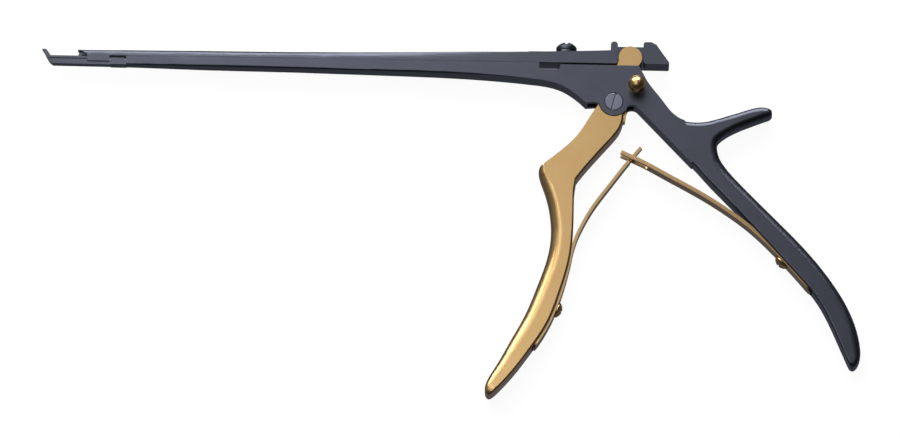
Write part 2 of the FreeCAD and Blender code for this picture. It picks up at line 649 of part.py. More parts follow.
def build_slide():
    body = new_body("slide")
    floor, top = slide_floor, size.tail_top
    lug_back = lug_face - size.lug_thick
    root = -size.taper_start - 2
    ridge = [(root, 17.8), (-19.3, 18.0), (-14.0, 18.2), (-8.8, 18.4), (lug_back, 18.75)]
    slant = (size.tail_reach - size.tail_run, top)
    heel = soft_corner(slant, (size.tail_reach, floor), (root, floor), size.tail_heel)
    sketch = new_sketch(body, "tail")
    draw_outline(sketch, [
        ridge,
        [ridge[-1], (lug_back, top - 1.1)],
        round_corner((lug_back, top - 1.1), (lug_back + 1.1, top), (lug_back, top)),
        [(lug_back + 1.1, top), slant],
        [slant, heel[0]],
        heel,
        [heel[2], (root, floor)],
        [(root, floor), ridge[0]],
    ])
    pad(body, sketch, "plate_thick")
    bar = []
    for share, width, bottom, height, lower, upper in TAPER:
        place = taper_place(share)
        bar.append(((place, floor), (place, height), 0.05, upper, middle - width / 2))
    narrow = middle - size.front_width / 2
    nose_top = size.foot_top - 0.05
    for x, height in ((shaft_front, 16.3), (skirt_rear, 16.2), (nose_front, nose_top)):
        bar.append(((x, floor), (x, height), 0.05, 1.1, narrow))
    add_loft(body, "bar", bar)
    skirt = new_sketch(body, "skirt", offset="plate_thick / 2 - front_width / 2")
    draw_polygon(skirt, [(skirt_front, size.skirt_bottom), (skirt_rear, size.skirt_bottom),
                         (skirt_rear, 15.0), (skirt_front, 15.0)])
    pad(body, skirt, "front_width")
    cut_drum_pocket(body, floor, top)
    cut_skirt(body)
    cut_nose(body, floor)
    spot = new_sketch(body, "screw_seat", "XZ_Plane", -18.0)
    draw_circle(spot, "-guide_x", "plate_thick / 2", "guide_collar + screw_fit")
    pocket(body, spot, "tail_top - rail_level")
    hole = new_sketch(body, "screw_hole", "XZ_Plane", "-rail_level")
    draw_circle(hole, "-guide_x", "plate_thick / 2", "guide_shank + screw_fit")
    pocket(body, hole, "tail_top - rail_level")
    return body


def cut_drum_pocket(body, floor, top):
    """Cut the pocket between the slide's lug and rear block in which the drum rolls."""
    sketch = new_sketch(body, "drum_pocket", offset="tail_wall")
    lug, block = lug_face, block_face
    draw_outline(sketch, [
        round_corner((lug - 1.0, floor), (lug, floor + 1.0), (lug, floor)),
        [(lug, floor + 1.0), (lug, top - 1.1)],
        round_corner((lug, top - 1.1), (lug - 1.1, top), (lug, top)),
        [(lug - 1.1, top), (lug - 1.1, top + 1)],
        [(lug - 1.1, top + 1), (block + 0.8, top + 1)],
        [(block + 0.8, top + 1), (block + 0.8, top)],
        round_corner((block + 0.8, top), (block, top - 0.8), (block, top)),
        [(block, top - 0.8), (block, floor + 1.3)],
        round_corner((block, floor + 1.3), (block + 1.3, floor), (block, floor)),
        [(block + 1.3, floor), (block + 1.3, floor - 1)],
        [(block + 1.3, floor - 1), (lug - 1.0, floor - 1)],
        [(lug - 1.0, floor - 1), (lug - 1.0, floor)],
    ])
    pocket(body, sketch, "plate_thick", backward=True)


def cut_skirt(body):
    """Hollow the skirt so that it wraps the rail's head, neck and stem with running clearance."""
    gap = size.slide_gap
    head = size.rail_level - size.head_depth - gap
    groove = size.rail_level - size.head_depth - size.neck_depth + gap
    stem_half = size.stem_width / 2 + gap
    neck_half = size.neck_width / 2 + gap
    head_half = size.head_width / 2 + gap
    low = size.skirt_bottom - 1
    sketch = new_sketch(body, "rail_hollow", "YZ_Plane", skirt_rear)
    draw_polygon(sketch, [
        (low, middle - stem_half), (groove, middle - stem_half), (groove, middle - neck_half),
        (head, middle - neck_half), (head, middle - head_half), (slide_floor, middle - head_half),
        (slide_floor, middle + head_half), (head, middle + head_half), (head, middle + neck_half),
        (groove, middle + neck_half), (groove, middle + stem_half), (low, middle + stem_half),
    ])
    pocket(body, sketch, "skirt_length")


def cut_nose(body, floor):
    """Shape the biting nose: hollow front, chip bore, side scoops and relief."""
    height = (floor + size.foot_top) / 2 - 0.1
    front = new_sketch(body, "hollow_front")
    front.addGeometry(Part.Circle(Vector(nose_front - 1.12, height, 0), Vector(0, 0, 1), 1.57))
    pocket(body, front, "plate_thick", backward=True)
    bore = new_sketch(body, "chip_bore", "YZ_Plane", nose_front - 1)
    draw_circle(bore, "rail_level + 1.05", "plate_thick / 2", "head_width / 4 + 0.1")
    pocket(body, bore, "nose_length", backward=True)
    for name, side in (("near_scoop", 1), ("far_scoop", -1)):
        scoop = new_sketch(body, name, offset="plate_thick / 2 + %d * (front_width / 2 - 1.1)" % side)
        draw_outline(scoop, [
            [(nose_front - 1, floor - 1), (nose_front - 1, floor + 1.55)],
            [(nose_front - 1, floor + 1.55), (nose_front + 0.4, floor + 1.55)],
            [(nose_front + 0.4, floor + 1.55), (nose_front + 2.2, floor + 1.1), (skirt_front - 0.2, floor)],
            [(skirt_front - 0.2, floor), (skirt_front - 0.2, floor - 1)],
            [(skirt_front - 0.2, floor - 1), (nose_front - 1, floor - 1)],
        ])
        pocket(body, scoop, "plate_thick", backward=side > 0)
    relief = new_sketch(body, "relief")
    draw_polygon(relief, [(nose_front + 1.3, floor - 1), (skirt_front - 0.1, floor - 1),
                          (skirt_front - 0.1, floor + 0.35), (nose_front + 1.3, floor + 0.35)])
    pocket(body, relief, "plate_thick", backward=True)


def build_guide_block():
    """The undercut block that keeps the slide on the shaft."""
    body = new_body("guide_block")
    foot_start = size.window_floor + 0.1
    sketch = new_sketch(body, "profile", "YZ_Plane", "-guide_x - guide_length / 2")
    foot, neck = size.guide_foot / 2, size.guide_neck / 2
    foot_end = foot_start + size.guide_foot_deep
    draw_polygon(sketch, [
        (foot_start, middle - foot), (foot_end, middle - foot), (foot_end, middle - neck),
        (slide_floor, middle - neck), (slide_floor, middle + neck), (foot_end, middle + neck),
        (foot_end, middle + foot), (foot_start, middle + foot),
    ])
    pad(body, sketch, "guide_length")
    hole = new_sketch(body, "screw_hole", "XZ_Plane", -slide_floor - 1)
    draw_circle(hole, "-guide_x", "plate_thick / 2", "guide_shank + screw_fit")
    pocket(body, hole, "tail_top - rail_level", backward=True)
    return body


def turned(body, name, place, profile, axis=None):
    """Turn a half profile, given as radius and height, about an axis through a place."""
    axis = axis or Vector(0, 0, 1)
    side = Vector(1, 0, 0) if abs(axis.x) < 0.5 else Vector(0, 0, 1)
    across = axis.cross(side)
    across.normalize()
    sketch = new_sketch(body, name)
    sketch.AttachmentOffset = Placement(place, Rotation(across, axis, across.cross(axis), "XYZ"))
    draw_outline(sketch, profile)
    feature = body.newObject("PartDesign::Revolution", body.Name + "_" + name + "_turned")
    feature.Profile = sketch
    feature.ReferenceAxis = (sketch, ["V_Axis"])
    feature.Angle = 360
    sketch.Visibility = False
    doc.recompute()
    return feature


def lines(points):
    return [list(pair) for pair in zip(points, points[1:])]


def cut_slot(body, top, axis, along, width, depth):
    """Saw a screwdriver slot across a screw's head."""
    along = Vector(along)
    along.normalize()
    across = along.cross(axis)
    box = body.newObject("PartDesign::SubtractiveBox", body.Name + "_slot")
    box.setExpression("Length", bind(width))
    box.Width = 12
    box.Height = 3
    corner = top - across * (mm(width) / 2) - along * 6 - axis * depth
    box.Placement = Placement(corner, Rotation(across, along, axis, "XYZ"))
    doc.recompute()


def dome(radius, low, top):
    """Arc from a head's rim up to the middle of its crown, level at the crown."""
    rise = top - low
    sphere = (radius * radius + rise * rise) / (2 * rise)
    half = math.asin(radius / sphere) / 2
    return [(radius, low), (sphere * math.sin(half), top - sphere + sphere * math.cos(half)), (0, top)]


def build_guide_screw():
    """Domed screw that goes through the slide into the guide block."""
    body = new_body("guide_screw")
    end = size.window_floor + 0.25
    seat = 18.0
    rim = seat + size.guide_collar_deep
    crown = rim + 3.3
    shank, collar, head = size.guide_shank, size.guide_collar, size.guide_head
    steps = lines([(0, end), (shank - 0.3, end), (shank, end + 0.3), (shank, seat), (collar, seat),
                   (collar, rim), (head - 0.3, rim), (head, rim + 0.3), (head, rim + 1.4)])
    outline = steps + [dome(head, rim + 1.4, crown), [(0, crown), (0, end)]]
    turned(body, "profile", Vector(-size.guide_x, 0, middle), outline, Vector(0, 1, 0))
    cut_slot(body, Vector(-size.guide_x, crown, middle), Vector(0, 1, 0), (0, 0, 1), "slot_cut", 1.2)
    return body


def build_pivot_screw():
    """Screw on which the front handle turns, threaded into the far cheek."""
    body = new_body("pivot_screw")
    top = size.plate_thick
    under_head = top - size.pivot_head_deep
    cheek = middle - size.slot_width / 2
    head, shank, thread = size.pivot_head, size.pivot_shank, size.pivot_thread
    steps = lines([(0, 0), (thread - 0.25, 0), (thread, 0.25), (thread, cheek), (shank, cheek),
                   (shank, under_head), (head, under_head), (head, top - 0.25), (head - 0.25, top),
                   (0, top)])
    turned(body, "profile", Vector(0, 0, 0), steps + [[(0, top), (0, 0)]])
    cut_slot(body, Vector(0, 0, top), Vector(0, 0, 1), (0.233, 0.972, 0), "pivot_slot", 0.8)
    return body


def build_lock():
    """Release lock: ball, pin, spring and plug, all on one upright axis beside the drum."""
    place = Vector(size.lock_x, size.lock_y, 0)
    cheek = middle + size.slot_width / 2
    ball_low = size.plate_thick + size.lock_rise - size.lock_ball
    ball_mid = size.plate_thick + size.lock_rise
    collar_top = cheek - size.lock_play
    collar_low = collar_top - size.lock_collar_deep
    pin_top = ball_low + 1.6
    neck, bore = size.lock_neck, size.lock_neck + size.screw_fit
    mouth = ball_mid - math.sqrt(size.lock_ball ** 2 - bore ** 2)
    knob = new_body("lock_knob")
    turned(knob, "profile", place, [
        [(bore, mouth), (size.lock_ball, ball_mid), (0, ball_mid + size.lock_ball)],
        [(0, ball_mid + size.lock_ball), (0, pin_top + 0.1)],
        [(0, pin_top + 0.1), (bore, pin_top + 0.1)],
        [(bore, pin_top + 0.1), (bore, mouth)],
    ])
    pin = new_body("lock_pin")
    collar, pilot = size.lock_collar, neck - 0.3
    pilot_end = collar_low - 1.4
    steps = lines([(0, pilot_end), (pilot, pilot_end), (pilot, collar_low), (collar, collar_low),
                   (collar, collar_top), (neck, collar_top), (neck, pin_top), (0, pin_top)])
    turned(pin, "profile", place, steps + [[(0, pin_top), (0, pilot_end)]])
    plug = new_body("lock_plug")
    deep = size.lock_plug_deep
    rim = size.lock_bore
    steps = lines([(0, 0), (rim - 0.2, 0), (rim, 0.2), (rim, deep), (0, deep)])
    turned(plug, "profile", place, steps + [[(0, deep), (0, 0)]])
    cut_slot(plug, place, Vector(0, 0, -1), (1, 0, 0), "slot_cut - 0.4", 0.5)
    build_lock_spring(place, deep, collar_low)


def build_lock_spring(place, low, high):
    """Coil spring between the plug and the pin's collar."""
    body = new_body("lock_spring")
    wire = size.lock_wire / 2
    coil = size.lock_collar - wire - 0.15
    sketch = new_sketch(body, "wire")
    upright = Rotation(Vector(1, 0, 0), Vector(0, 0, 1), Vector(0, -1, 0), "XYZ")
    sketch.AttachmentOffset = Placement(place, upright)
    sketch.addGeometry(Part.Circle(Vector(coil, low + wire + 0.02, 0), Vector(0, 0, 1), wire))
    helix = body.newObject("PartDesign::AdditiveHelix", "lock_spring_coil")
    helix.Profile = sketch
    helix.ReferenceAxis = (sketch, ["V_Axis"])
    helix.Mode = "height-turns-angle"
    helix.Height = high - low - 2 * wire - 0.04
    helix.Turns = 3.5
    sketch.Visibility = False
    doc.recompute()
    return body


def build_leaf(label, leaf, thick, near):
    """Bent leaf of even thickness with rounded base corners and a screw hole."""
    body = new_body(label)
    line = shortened(leaf)
    sketch = new_sketch(body, "leaf", offset="plate_thick / 2 - leaf_width / 2")
    draw_outline(sketch, strip(line, thick / 2, -thick / 2))
    pad(body, sketch, "leaf_width")
    base = Vector(line[0][0], line[0][1], 0)
    edge = size.leaf_width / 2
    round_edges(body, "base_corners", "dome_round - seat_fit * 10",
                lambda at: (Vector(at.x, at.y, 0) - base).Length < 0.2 and abs(at.z - middle) > edge - 0.01)
    tip = Vector(leaf[-1][0], leaf[-1][1], 0)
    round_edges(body, "tip", "leaf_tip_round",
                lambda at: (Vector(at.x, at.y, 0) - tip).Length < thick and abs(at.z - middle) < 0.01)
    place, along, left = leaf_frame(leaf, near)
    hole = body.newObject("PartDesign::SubtractiveCylinder", label + "_screw_hole")
    hole.setExpression("Radius", bind("dome_shank + screw_fit"))
    hole.Height = 6
    hole.Placement = Placement(place + Vector(0, 0, middle) - left * 3, Rotation(Vector(0, 0, 1), left))
    doc.recompute()
    return body


def build_front_spring():
    body = build_leaf("front_spring", FRONT_LEAF, size.front_leaf_thick, FRONT_SCREW)
    wide, neck, tongue = size.leaf_width / 2, size.front_leaf_neck / 2, size.leaf_tongue / 2
    for name, side in (("near_side", 1), ("far_side", -1)):
        sketch = new_sketch(body, name, "YZ_Plane", 15.0)
        draw_polygon(sketch, [(-62.0, middle + side * wide), (-24.0, middle + side * neck),
                              (-20.55, middle + side * neck), (-20.55, middle + side * tongue),
                              (-10.0, middle + side * tongue), (-10.0, middle + side * (wide + 1)),
                              (-62.0, middle + side * (wide + 1))])
        pocket(body, sketch, "tip_reach / 4")
    return body


def build_rear_spring():
    body = build_leaf("rear_spring", REAR_LEAF, size.rear_leaf_thick, REAR_SCREW)
    half = size.fork_slot / 2
    end = REAR_LEAF[-1][0] + size.fork_length * 0.9
    sketch = new_sketch(body, "fork", "XZ_Plane")
    draw_outline(sketch, [
        [(0, middle - half), (end - half, middle - half)],
        [(end - half, middle - half), (end, middle), (end - half, middle + half)],
        [(end - half, middle + half), (0, middle + half)],
        [(0, middle + half), (0, middle - half)],
    ])
    pocket(body, sketch, "tip_reach / 4", backward=True)
    return body


def build_spring_screw(label, leaf, thick, side, near):
    """Domed screw that holds a leaf spring in its seat."""
    body = new_body(label)
    place, along, left = leaf_frame(leaf, near)
    out = left * -side
    shank, head = size.dome_shank, size.dome_round
    end, face = -size.dome_shank_length, thick / 2 + size.seat_fit
    crown = face + size.dome_rise
    steps = lines([(0, end), (shank - 0.25, end), (shank, end + 0.25), (shank, face), (head, face),
                   (head, face + 0.4)])
    cap = dome(head, face + 0.4, crown)
    middle_line = place + Vector(0, 0, middle)
    turned(body, "profile", middle_line, steps + [cap, [(0, crown), (0, end)]], out)
    cut_slot(body, middle_line + out * crown, out, (0, 0, 1), "slot_cut - 0.2", 0.8)
    return body


build_fixed_shaft()
build_slide()
build_front_handle()
build_guide_block()
build_guide_screw()
build_pivot_screw()
build_lock()
build_front_spring()
build_rear_spring()
build_spring_screw("front_spring_screw", FRONT_LEAF, size.front_leaf_thick, 1, FRONT_SCREW)
build_spring_screw("rear_spring_screw", REAR_LEAF, size.rear_leaf_thick, -1, REAR_SCREW)

for item in doc.Objects:
    if "Invalid" in item.State or "Error" in item.State:
        raise RuntimeError("%s is %s" % (item.Name, item.State))

for body in doc.Objects:
    if body.TypeId != "PartDesign::Body":
        continue
    shape = body.Shape
    if shape.isNull() or not shape.isValid() or len(shape.Solids) != 1:
        raise RuntimeError("%s is not one valid solid" % body.Label)
    shape.exportStep("parts/%s.step" % body.Label)
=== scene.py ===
# %% [markdown]
# # A bone rongeur on a white table
#
# The object is a surgeon's bite punch: a slim shaft with a foot plate at its tip, an upper jaw
# that slides along it, and two handles pushed apart by crossed leaf springs.
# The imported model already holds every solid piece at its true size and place.
# This script gives each piece its real edges and its real finish, and lights it.

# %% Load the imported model
import math

import bmesh
import bpy
from mathutils import Matrix, Vector


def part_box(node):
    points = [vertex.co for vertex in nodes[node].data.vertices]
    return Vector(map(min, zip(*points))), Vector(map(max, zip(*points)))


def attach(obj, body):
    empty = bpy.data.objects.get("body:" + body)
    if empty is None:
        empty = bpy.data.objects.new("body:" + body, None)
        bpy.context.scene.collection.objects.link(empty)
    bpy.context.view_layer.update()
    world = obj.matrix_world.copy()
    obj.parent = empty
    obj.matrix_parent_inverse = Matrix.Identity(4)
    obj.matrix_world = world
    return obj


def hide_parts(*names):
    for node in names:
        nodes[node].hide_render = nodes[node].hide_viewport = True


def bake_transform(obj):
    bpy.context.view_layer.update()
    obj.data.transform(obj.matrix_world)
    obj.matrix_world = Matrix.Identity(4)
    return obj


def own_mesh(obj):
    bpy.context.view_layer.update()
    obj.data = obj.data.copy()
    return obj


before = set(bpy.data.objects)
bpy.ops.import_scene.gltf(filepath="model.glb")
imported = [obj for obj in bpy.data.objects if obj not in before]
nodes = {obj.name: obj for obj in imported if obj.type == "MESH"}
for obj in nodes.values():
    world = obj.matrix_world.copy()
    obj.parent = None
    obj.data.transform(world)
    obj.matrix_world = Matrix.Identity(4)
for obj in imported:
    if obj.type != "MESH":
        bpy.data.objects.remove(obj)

scene = bpy.context.scene
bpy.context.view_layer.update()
print("pieces:", len(nodes))

# %% [markdown]
# ## Colours
#
# A colour picked from a screen is written in sRGB, but light adds up in linear values.
# One small function turns a hex code into the linear numbers that a shader wants.


# %% Turn a hex colour into linear light
def colour(code):
    def linear(part):
        value = int(part, 16) / 255
        return value / 12.92 if value <= 0.04045 else ((value + 0.055) / 1.055) ** 2.4
    return (*[linear(code[i:i + 2]) for i in (1, 3, 5)], 1.0)


print("mid grey is", [round(part, 3) for part in colour("#808080")])

# %% [markdown]
# ## One way to add a shader node
#
# Every material below is a short list of nodes. This function adds one node, sets its
# properties and input values, and links other nodes' outputs into it.


# %% Add a node with its settings and links
def add(tree, kind, settings=None, values=None, links=None):
    node = tree.nodes.new(kind)
    for name, value in (settings or {}).items():
        setattr(node, name, value)
    for name, value in (values or {}).items():
        node.inputs[name].default_value = value
    for name, source in (links or {}).items():
        tree.links.new(source, node.inputs[name])
    return node


def new_material(name):
    material = bpy.data.materials.new(name)
    material.use_nodes = True
    material.node_tree.nodes.clear()
    return material, material.node_tree


# %% [markdown]
# ## Coated steel
#
# Both forgings are stainless steel, ground smooth along their length and then coated in a vacuum
# with a hard film a few thousandths of a millimetre thick. The film is black-blue on the shaft
# and gold on the finger grip. It copies the ground surface, so it looks satin: soft reflections,
# with faint lines about 0.15 mm apart that the eye sees only close up. They are drawn
# at 0.5 mm here (a noise scale of 2000 per metre), because finer ones vanish in the render.
# The film's colour clouds a little over patches of about 8 mm, as the gas in the chamber does
# not settle quite evenly.


# %% Build the coated finishes
def coated_steel(name, film, pale_film, roughness, grind_axis):
    """Metal under a thin hard film: grind lines, cloudy gloss and a slightly paler bloom."""
    material, tree = new_material(name)
    place = add(tree, "ShaderNodeTexCoord")
    stretch = {"X": (0.06, 1, 1), "Y": (1, 0.06, 1)}[grind_axis]
    lines = add(tree, "ShaderNodeMapping", values={"Scale": stretch}, links={"Vector": place.outputs["Object"]})
    grind = add(tree, "ShaderNodeTexNoise", values={"Scale": 2000, "Detail": 3, "Roughness": 0.6},
                links={"Vector": lines.outputs["Vector"]})
    cloud = add(tree, "ShaderNodeTexNoise", values={"Scale": 120, "Detail": 4, "Roughness": 0.55},
                links={"Vector": place.outputs["Object"]})
    tint = add(tree, "ShaderNodeMix", {"data_type": "RGBA"}, {"A": colour(film), "B": colour(pale_film)},
               {"Factor": cloud.outputs["Fac"]})
    gloss = add(tree, "ShaderNodeMapRange",
                values={"From Min": 0.3, "From Max": 0.7, "To Min": roughness - 0.02, "To Max": roughness + 0.02},
                links={"Value": grind.outputs["Fac"]})
    relief = add(tree, "ShaderNodeBump", values={"Strength": 0.035, "Distance": 0.00001},
                 links={"Height": grind.outputs["Fac"]})
    shader = add(tree, "ShaderNodeBsdfPrincipled", values={"Metallic": 1.0},
                 links={"Base Color": tint.outputs["Result"], "Roughness": gloss.outputs["Result"],
                        "Normal": relief.outputs["Normal"]})
    add(tree, "ShaderNodeOutputMaterial", links={"Surface": shader.outputs["BSDF"]})
    return material


# The ground films are for the two forgings. The pivot screw's face is turned, which leaves it
# paler. The leaves are rolled strip, which leaves them duller and greyer than the grip.
black_film = coated_steel("Black_PVD_film_on_ground_steel", "#4e515a", "#575a65", 0.33, "X")
black_turned = coated_steel("Black_PVD_film_on_turned_steel", "#747783", "#7d818f", 0.30, "X")
gold_film = coated_steel("Gold_TiN_film_on_ground_steel", "#c7a26b", "#d1af7c", 0.24, "Y")
gold_leaf = coated_steel("Gold_TiN_film_on_rolled_spring_steel", "#b8966a", "#c4a47a", 0.30, "Y")
print("coated finishes:", [film.name for film in (black_film, black_turned, gold_film, gold_leaf)])

# %% [markdown]
# ## Drawn spring wire
#
# The lock's coil spring is plain stainless wire, drawn through a die, so it is brighter and
# smoother than the forgings. The drawing lines are far too fine to see on so thin a wire, so
# only their effect is kept: a gloss that varies over about a quarter of a millimetre.

# %% Build the wire finish
wire_steel, tree = new_material("Drawn_stainless_spring_wire")
place = add(tree, "ShaderNodeTexCoord")
grain = add(tree, "ShaderNodeTexNoise", values={"Scale": 4000, "Detail": 2},
            links={"Vector": place.outputs["Object"]})
gloss = add(tree, "ShaderNodeMapRange", values={"To Min": 0.18, "To Max": 0.3},
            links={"Value": grain.outputs["Fac"]})
shader = add(tree, "ShaderNodeBsdfPrincipled", values={"Metallic": 1.0, "Base Color": colour("#b4b6b8")},
             links={"Roughness": gloss.outputs["Result"]})
add(tree, "ShaderNodeOutputMaterial", links={"Surface": shader.outputs["BSDF"]})
print("wire finish:", wire_steel.name)

# %% [markdown]
# ## Broken edges
#
# No ground tool has a knife-sharp corner: each edge is broken by a tenth of a millimetre or two,
# and that narrow band catches the light. It could be modelled edge by edge. A bevel on every
# edge sharper than 28 degrees does the same work by a rule, and weighted normals after it keep
# the large flats even in the light. The plain mesh that they leave then stands for the piece.

# %% Break the edges of a piece
SHARP = math.radians(28)


def crisp(piece, break_mm):
    """Break the sharp edges of a piece and keep its flat faces flat in the light."""
    edge = piece.modifiers.new("edge", "BEVEL")
    edge.width = break_mm / 1000
    edge.segments = 2
    edge.limit_method = "ANGLE"
    edge.angle_limit = SHARP
    light = piece.modifiers.new("light", "WEIGHTED_NORMAL")
    light.weight = 100
    bpy.context.view_layer.update()
    finished = bpy.data.meshes.new_from_object(piece.evaluated_get(bpy.context.evaluated_depsgraph_get()))
    piece.modifiers.clear()
    piece.data = finished
    return piece


def add_piece(name, mesh, material):
    mesh.materials.clear()
    mesh.materials.append(material)
    mesh.shade_smooth()
    piece = bpy.data.objects.new(name, mesh)
    scene.collection.objects.link(piece)
    return piece


print("edges sharper than", round(math.degrees(SHARP)), "degrees are broken")

# %% [markdown]
# ## Following a wall
#
# The soft edges of the handles, and the leaf springs further down, all follow a bent line. A few
# measured points are enough for it. A curve object would need handles set at each of them, so a
# cubic is used that passes through every point by itself. Its length is added up along the way,
# so that a place on it can be asked for in millimetres.

# %% Run a smooth line through measured points
CURVE_STEPS = 24


def bent_line(points, trim=0.0):
    """Fine steps along a smooth curve through the points, with the length up to each step."""
    spots = [Vector((x, y, 0)) for x, y in points]
    spots[0] += (spots[1] - spots[0]).normalized() * trim
    padded = [spots[0] * 2 - spots[1]] + spots + [spots[-1] * 2 - spots[-2]]
    dense = []
    for before, start, end, after in zip(padded, padded[1:], padded[2:], padded[3:]):
        for step in range(CURVE_STEPS):
            t = step / CURVE_STEPS
            dense.append(0.5 * (2 * start + (end - before) * t + (2 * before - 5 * start + 4 * end - after) * t * t
                                + (3 * start - before - 3 * end + after) * t ** 3))
    dense.append(spots[-1])
    lengths = [0.0]
    for start, end in zip(dense, dense[1:]):
        lengths.append(lengths[-1] + (end - start).length)
    return dense, lengths


def on_line(dense, lengths, distance):
    """Place and leftward direction at a distance along the line."""
    number = max(1, min(len(dense) - 1, sum(length < distance for length in lengths)))
    start, end = dense[number - 1], dense[number]
    share = (distance - lengths[number - 1]) / (lengths[number] - lengths[number - 1])
    along = (end - start).normalized()
    return start.lerp(end, share), Vector((-along.y, along.x, 0))


# The wall from the thumb horn's underside round the web to the palm, in millimetres.
WEB_LINE = [(44.62, -8.13), (42.0, -9.4), (39.97, -10.57), (38.4, -11.69), (37.13, -12.83), (36.5, -13.8),
            (36.28, -14.8), (36.28, -15.46), (36.33, -16.25), (36.47, -17.18), (36.7, -18.04), (37.4, -19.72),
            (37.9, -20.6), (39.2, -22.5), (40.8, -24.5), (42.8, -26.79)]
print("the wall round the web is", round(bent_line(WEB_LINE)[1][-1], 1), "mm long")

# %% [markdown]
# ## Welding on and milling off
#
# A toolmaker welds metal on where it is missing and mills it off where there is too much. A
# Boolean modifier does both with closed solids. Each solid gets a twin on the other flat side, as the
# forgings are the same on both.

# %% Make a solid and its twin, and join or cut with them
THICK = 8


def solid_of(rings):
    """A closed mesh through rings of points in millimetres, and its twin on the other flat side."""
    shape = bmesh.new()
    for flip in (False, True):
        laid = [[shape.verts.new((x / 1000, y / 1000, (THICK - z if flip else z) / 1000)) for x, y, z in ring]
                for ring in rings]
        for ring, following in zip(laid, laid[1:]):
            for number in range(len(ring)):
                shape.faces.new((ring[number - 1], ring[number], following[number], following[number - 1]))
        shape.faces.new(laid[0])
        shape.faces.new(laid[-1])
    bmesh.ops.recalc_face_normals(shape, faces=shape.faces)
    mesh = bpy.data.meshes.new("tool")
    shape.to_mesh(mesh)
    shape.free()
    return mesh


def worked(mesh, tool_mesh, operation):
    """The mesh with a tool's solid joined to it or cut from it."""
    blank = bpy.data.objects.new("blank", mesh)
    tool = bpy.data.objects.new("tool", tool_mesh)
    scene.collection.objects.link(blank)
    scene.collection.objects.link(tool)
    step = blank.modifiers.new("step", "BOOLEAN")
    step.operation = operation
    step.solver = "EXACT"
    step.object = tool
    bpy.context.view_layer.update()
    result = bpy.data.meshes.new_from_object(blank.evaluated_get(bpy.context.evaluated_depsgraph_get()))
    bpy.data.objects.remove(blank)
    bpy.data.objects.remove(tool)
    return result


print("both flat sides lie", THICK, "mm apart")

# %% [markdown]
# ## The cutter for a soft edge
#
# The edges of such handles are rounded on a belt, wider in some places than in others. A bevel
# has one width all along, so the round is cut with a solid instead: a hollow quarter of an
# ellipse that is swept along the wall. Its width and depth may change on the way, and it
# may lift off at the ends so that the cut runs out gently.

# %% Sweep a cutter along a wall
RING_STEP = 0.55
CUTTER_TOP, CUTTER_HIGH, CUTTER_OUT, WALL_GAP = 7.975, 8.8, 1.2, 0.03


def edge_cutter(line, side, wide_at, deep_at, lift_at):
    """The solid outside a soft edge that follows a wall, on both flat sides."""
    dense, lengths = bent_line(line)
    rings = []
    steps = round(lengths[-1] / RING_STEP)
    for step in range(steps + 1):
        share = step / steps
        place, left = on_line(dense, lengths, max(0.001, share * lengths[-1]))
        wide, deep, lift = wide_at(share), deep_at(share), lift_at(share)
        top = CUTTER_TOP + lift
        section = [(wide * (math.sin(math.radians(a)) - 1), top + deep * (math.cos(math.radians(a)) - 1))
                   for a in range(0, 91, 6)]
        section += [(CUTTER_OUT, top - deep), (CUTTER_OUT, CUTTER_HIGH), (-wide, CUTTER_HIGH)]
        rings.append([(*(place + left * side * (far + WALL_GAP + lift)).xy, height) for far, height in section])
    return solid_of(rings)


def run_out(share, start):
    """How far the cutter lifts off near both ends of its way, in millimetres."""
    return 0.05 * max(0.0, abs(share - 0.5) * 2 - start) / (1 - start)


print("the cutter has a ring every", RING_STEP, "mm")

# %% [markdown]
# ## The web between thumb horn and palm
#
# Where the horn grows out of the rear handle, the wall turns in a tight curve, and its soft edge
# passes from the horn's round into the palm's wider one. This is the piece's most skilled spot.
# First the inside of the curve is filled up to a clean wall, then one cutter runs all the way
# round it.

# %% Carry the soft edge round the web
HORN_ROUND, PALM_EXTRA = 1.95, 0.95
WEB_PATCH = [(38.0, -11.9), (37.08, -12.83), (36.45, -13.8), (36.23, -14.8), (36.23, -15.5), (36.28, -16.2),
             (34.5, -17.5), (31.0, -15.2), (31.5, -12.5), (34.8, -10.2)]
PATCH_LOW, HANDLE_TOP = 4.5, 7.98


def web_round(share):
    return HORN_ROUND + PALM_EXTRA * min(1.0, max(0.0, (share - 0.2) / 0.6))


def soft_web(mesh):
    """Carry the soft edge of the horn round the web into the palm's, on both flat sides."""
    filler = solid_of([[(x, y, z) for x, y in WEB_PATCH] for z in (PATCH_LOW, HANDLE_TOP)])
    mesh = worked(mesh, filler, "UNION")
    cutter = edge_cutter(WEB_LINE, 1, web_round, web_round, lambda share: run_out(share, 0.6))
    return worked(mesh, cutter, "DIFFERENCE")


print("the round grows from", web_round(0), "to", round(web_round(1), 2), "mm")

# %% [markdown]
# ## The finger side of the grip
#
# The finger grip is rounded over nearly half its width, so that it doesn't press into the hand.
# The crest where that round meets the flat carries the long bright line of the photograph. The
# round is widest in the middle of the grip and narrower at both ends.

# %% Round the finger side
FINGER_LINE = [(-25.6, -27.4), (-24.74, -30.02), (-23.8, -32.6), (-22.69, -36.16), (-21.9, -39.8),
               (-21.29, -45.12), (-21.2, -47.8), (-21.72, -53.76), (-22.99, -59.32), (-24.69, -64.45),
               (-26.56, -69.7), (-29.7, -77.7), (-32.18, -82.69), (-34.8, -87.6), (-38.01, -93.76)]
END_ROUND, EXTRA_WIDE, EXTRA_DEEP = 2.95, 1.3, 0.2


def finger_wide(share):
    return END_ROUND + EXTRA_WIDE * math.sin(math.pi * share) ** 0.7


def finger_deep(share):
    return END_ROUND + EXTRA_DEEP * math.sin(math.pi * share)


def soft_fingers(mesh):
    """Round the finger side over nearly half the grip's width, on both flat sides."""
    cutter = edge_cutter(FINGER_LINE, -1, finger_wide, finger_deep, lambda share: run_out(share, 0.85))
    return worked(mesh, cutter, "DIFFERENCE")


print("the finger side is rounded over", round(finger_wide(0.5), 2), "mm at its widest")

